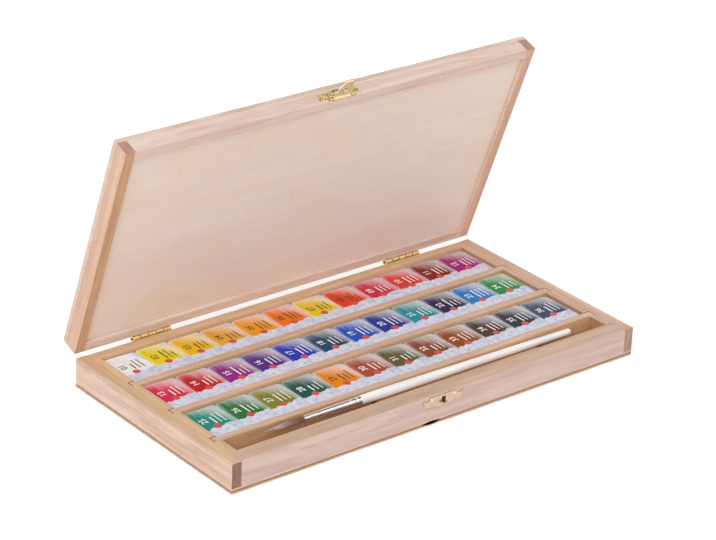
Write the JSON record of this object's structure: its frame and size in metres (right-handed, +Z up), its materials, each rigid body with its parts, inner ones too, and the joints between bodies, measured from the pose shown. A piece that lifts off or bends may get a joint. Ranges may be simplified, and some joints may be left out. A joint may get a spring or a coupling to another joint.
{
  "type": "watercolor paint box",
  "caption": "Flat wooden box holding rows of wrapped paint pans and a brush, with a panelled lid on two brass butt hinges and a brass hasp catch.",
  "frame": {"origin": "middle of the tray's underside, on the surface that it rests on", "axes": "+X along the front edge to the right, +Y from the front catch to the hinges, +Z up. The box is stored open, with the lid 70.3 degrees from closed"},
  "size_m": [0.2662, 0.1503, 0.159],
  "materials": {
    "tray_wood": "bare planed wood",
    "tray_ply": "bare plywood",
    "divider_wood": "bare planed wood",
    "lid_wood": "bare planed wood",
    "lid_ply": "bare plywood",
    "brass": "bright stamped brass",
    "pin_brass": "bright drawn wire",
    "brush_handle": "glossy white",
    "brush_ferrule": "bright drawn metal",
    "brush_hair": "soft brown hair",
    "pan_01": "printed paper wrapper, matte",
    "pan_02": "printed paper wrapper, matte",
    "pan_03": "printed paper wrapper, matte",
    "pan_04": "printed paper wrapper, matte",
    "pan_05": "printed paper wrapper, matte",
    "pan_06": "printed paper wrapper, matte",
    "pan_07": "printed paper wrapper, matte",
    "pan_08": "printed paper wrapper, matte",
    "pan_09": "printed paper wrapper, matte",
    "pan_10": "printed paper wrapper, matte",
    "pan_11": "printed paper wrapper, matte",
    "pan_12": "printed paper wrapper, matte",
    "pan_13": "printed paper wrapper, matte",
    "pan_14": "printed paper wrapper, matte",
    "pan_15": "printed paper wrapper, matte",
    "pan_16": "printed paper wrapper, matte",
    "pan_17": "printed paper wrapper, matte",
    "pan_18": "printed paper wrapper, matte",
    "pan_19": "printed paper wrapper, matte",
    "pan_20": "printed paper wrapper, matte",
    "pan_21": "printed paper wrapper, matte",
    "pan_22": "printed paper wrapper, matte",
    "pan_23": "printed paper wrapper, matte",
    "pan_24": "printed paper wrapper, matte",
    "pan_25": "printed paper wrapper, matte",
    "pan_26": "printed paper wrapper, matte",
    "pan_27": "printed paper wrapper, matte",
    "pan_28": "printed paper wrapper, matte",
    "pan_29": "printed paper wrapper, matte",
    "pan_30": "printed paper wrapper, matte",
    "pan_31": "printed paper wrapper, matte",
    "pan_32": "printed paper wrapper, matte",
    "pan_33": "printed paper wrapper, matte",
    "pan_34": "printed paper wrapper, matte",
    "pan_35": "printed paper wrapper, matte",
    "pan_36": "printed paper wrapper, matte"
  },
  "bodies": {
    "tray": {"base_rail_front": "tray_wood", "base_rail_back": "tray_wood", "base_rail_left": "tray_wood", "base_rail_right": "tray_wood", "base_panel": "tray_ply", "row_dividers": "divider_wood", "brush_rest": "divider_wood", "hinge_base_leaves": "brass", "base_fixings": "brass", "catch_base_plate": "brass"},
    "lid": {"lid_rail_front": "lid_wood", "lid_rail_back": "lid_wood", "lid_rail_left": "lid_wood", "lid_rail_right": "lid_wood", "lid_skin": "lid_ply", "lid_inner_panel": "lid_ply", "hinge_lid_leaves": "brass", "lid_fixings": "brass", "catch_lid_plate": "brass", "pivot_pins": "pin_brass"},
    "hasp": {"catch_hasp": "brass"},
    "brush": {"brush_handle": "brush_handle", "brush_ferrule": "brush_ferrule", "brush_hair": "brush_hair"},
    "pan_01": {"paint_pan_01": "pan_01"},
    "pan_02": {"paint_pan_02": "pan_02"},
    "pan_03": {"paint_pan_03": "pan_03"},
    "pan_04": {"paint_pan_04": "pan_04"},
    "pan_05": {"paint_pan_05": "pan_05"},
    "pan_06": {"paint_pan_06": "pan_06"},
    "pan_07": {"paint_pan_07": "pan_07"},
    "pan_08": {"paint_pan_08": "pan_08"},
    "pan_09": {"paint_pan_09": "pan_09"},
    "pan_10": {"paint_pan_10": "pan_10"},
    "pan_11": {"paint_pan_11": "pan_11"},
    "pan_12": {"paint_pan_12": "pan_12"},
    "pan_13": {"paint_pan_13": "pan_13"},
    "pan_14": {"paint_pan_14": "pan_14"},
    "pan_15": {"paint_pan_15": "pan_15"},
    "pan_16": {"paint_pan_16": "pan_16"},
    "pan_17": {"paint_pan_17": "pan_17"},
    "pan_18": {"paint_pan_18": "pan_18"},
    "pan_19": {"paint_pan_19": "pan_19"},
    "pan_20": {"paint_pan_20": "pan_20"},
    "pan_21": {"paint_pan_21": "pan_21"},
    "pan_22": {"paint_pan_22": "pan_22"},
    "pan_23": {"paint_pan_23": "pan_23"},
    "pan_24": {"paint_pan_24": "pan_24"},
    "pan_25": {"paint_pan_25": "pan_25"},
    "pan_26": {"paint_pan_26": "pan_26"},
    "pan_27": {"paint_pan_27": "pan_27"},
    "pan_28": {"paint_pan_28": "pan_28"},
    "pan_29": {"paint_pan_29": "pan_29"},
    "pan_30": {"paint_pan_30": "pan_30"},
    "pan_31": {"paint_pan_31": "pan_31"},
    "pan_32": {"paint_pan_32": "pan_32"},
    "pan_33": {"paint_pan_33": "pan_33"},
    "pan_34": {"paint_pan_34": "pan_34"},
    "pan_35": {"paint_pan_35": "pan_35"},
    "pan_36": {"paint_pan_36": "pan_36"}
  },
  "joints": [
    {"name": "lid_hinge", "type": "hinge", "parent": "tray", "child": "lid", "pos_m": [0, 0.0698, 0.0169], "axis": [-1, 0, 0], "range_deg": [-70.3, 109.7]},
    {"name": "hasp_swing", "type": "hinge", "parent": "lid", "child": "hasp", "pos_m": [0, 0.02326, 0.14793], "axis": [-1, 0, 0], "range_deg": [-79, 92]},
    {"name": "brush_lift", "type": "slide", "parent": "tray", "child": "brush", "axis": [0, 0, 1], "range_m": [0, 0.02]},
    {"name": "pan_01_lift", "type": "slide", "parent": "tray", "child": "pan_01", "axis": [0, 0, 1], "range_m": [0, 0.015]},
    {"name": "pan_02_lift", "type": "slide", "parent": "tray", "child": "pan_02", "axis": [0, 0, 1], "range_m": [0, 0.015]},
    {"name": "pan_03_lift", "type": "slide", "parent": "tray", "child": "pan_03", "axis": [0, 0, 1], "range_m": [0, 0.015]},
    {"name": "pan_04_lift", "type": "slide", "parent": "tray", "child": "pan_04", "axis": [0, 0, 1], "range_m": [0, 0.015]},
    {"name": "pan_05_lift", "type": "slide", "parent": "tray", "child": "pan_05", "axis": [0, 0, 1], "range_m": [0, 0.015]},
    {"name": "pan_06_lift", "type": "slide", "parent": "tray", "child": "pan_06", "axis": [0, 0, 1], "range_m": [0, 0.015]},
    {"name": "pan_07_lift", "type": "slide", "parent": "tray", "child": "pan_07", "axis": [0, 0, 1], "range_m": [0, 0.015]},
    {"name": "pan_08_lift", "type": "slide", "parent": "tray", "child": "pan_08", "axis": [0, 0, 1], "range_m": [0, 0.015]},
    {"name": "pan_09_lift", "type": "slide", "parent": "tray", "child": "pan_09", "axis": [0, 0, 1], "range_m": [0, 0.015]},
    {"name": "pan_10_lift", "type": "slide", "parent": "tray", "child": "pan_10", "axis": [0, 0, 1], "range_m": [0, 0.015]},
    {"name": "pan_11_lift", "type": "slide", "parent": "tray", "child": "pan_11", "axis": [0, 0, 1], "range_m": [0, 0.015]},
    {"name": "pan_12_lift", "type": "slide", "parent": "tray", "child": "pan_12", "axis": [0, 0, 1], "range_m": [0, 0.015]},
    {"name": "pan_13_lift", "type": "slide", "parent": "tray", "child": "pan_13", "axis": [0, 0, 1], "range_m": [0, 0.015]},
    {"name": "pan_14_lift", "type": "slide", "parent": "tray", "child": "pan_14", "axis": [0, 0, 1], "range_m": [0, 0.015]},
    {"name": "pan_15_lift", "type": "slide", "parent": "tray", "child": "pan_15", "axis": [0, 0, 1], "range_m": [0, 0.015]},
    {"name": "pan_16_lift", "type": "slide", "parent": "tray", "child": "pan_16", "axis": [0, 0, 1], "range_m": [0, 0.015]},
    {"name": "pan_17_lift", "type": "slide", "parent": "tray", "child": "pan_17", "axis": [0, 0, 1], "range_m": [0, 0.015]},
    {"name": "pan_18_lift", "type": "slide", "parent": "tray", "child": "pan_18", "axis": [0, 0, 1], "range_m": [0, 0.015]},
    {"name": "pan_19_lift", "type": "slide", "parent": "tray", "child": "pan_19", "axis": [0, 0, 1], "range_m": [0, 0.015]},
    {"name": "pan_20_lift", "type": "slide", "parent": "tray", "child": "pan_20", "axis": [0, 0, 1], "range_m": [0, 0.015]},
    {"name": "pan_21_lift", "type": "slide", "parent": "tray", "child": "pan_21", "axis": [0, 0, 1], "range_m": [0, 0.015]},
    {"name": "pan_22_lift", "type": "slide", "parent": "tray", "child": "pan_22", "axis": [0, 0, 1], "range_m": [0, 0.015]},
    {"name": "pan_23_lift", "type": "slide", "parent": "tray", "child": "pan_23", "axis": [0, 0, 1], "range_m": [0, 0.015]},
    {"name": "pan_24_lift", "type": "slide", "parent": "tray", "child": "pan_24", "axis": [0, 0, 1], "range_m": [0, 0.015]},
    {"name": "pan_25_lift", "type": "slide", "parent": "tray", "child": "pan_25", "axis": [0, 0, 1], "range_m": [0, 0.015]},
    {"name": "pan_26_lift", "type": "slide", "parent": "tray", "child": "pan_26", "axis": [0, 0, 1], "range_m": [0, 0.015]},
    {"name": "pan_27_lift", "type": "slide", "parent": "tray", "child": "pan_27", "axis": [0, 0, 1], "range_m": [0, 0.015]},
    {"name": "pan_28_lift", "type": "slide", "parent": "tray", "child": "pan_28", "axis": [0, 0, 1], "range_m": [0, 0.015]},
    {"name": "pan_29_lift", "type": "slide", "parent": "tray", "child": "pan_29", "axis": [0, 0, 1], "range_m": [0, 0.015]},
    {"name": "pan_30_lift", "type": "slide", "parent": "tray", "child": "pan_30", "axis": [0, 0, 1], "range_m": [0, 0.015]},
    {"name": "pan_31_lift", "type": "slide", "parent": "tray", "child": "pan_31", "axis": [0, 0, 1], "range_m": [0, 0.015]},
    {"name": "pan_32_lift", "type": "slide", "parent": "tray", "child": "pan_32", "axis": [0, 0, 1], "range_m": [0, 0.015]},
    {"name": "pan_33_lift", "type": "slide", "parent": "tray", "child": "pan_33", "axis": [0, 0, 1], "range_m": [0, 0.015]},
    {"name": "pan_34_lift", "type": "slide", "parent": "tray", "child": "pan_34", "axis": [0, 0, 1], "range_m": [0, 0.015]},
    {"name": "pan_35_lift", "type": "slide", "parent": "tray", "child": "pan_35", "axis": [0, 0, 1], "range_m": [0, 0.015]},
    {"name": "pan_36_lift", "type": "slide", "parent": "tray", "child": "pan_36", "axis": [0, 0, 1], "range_m": [0, 0.015]}
  ]
}
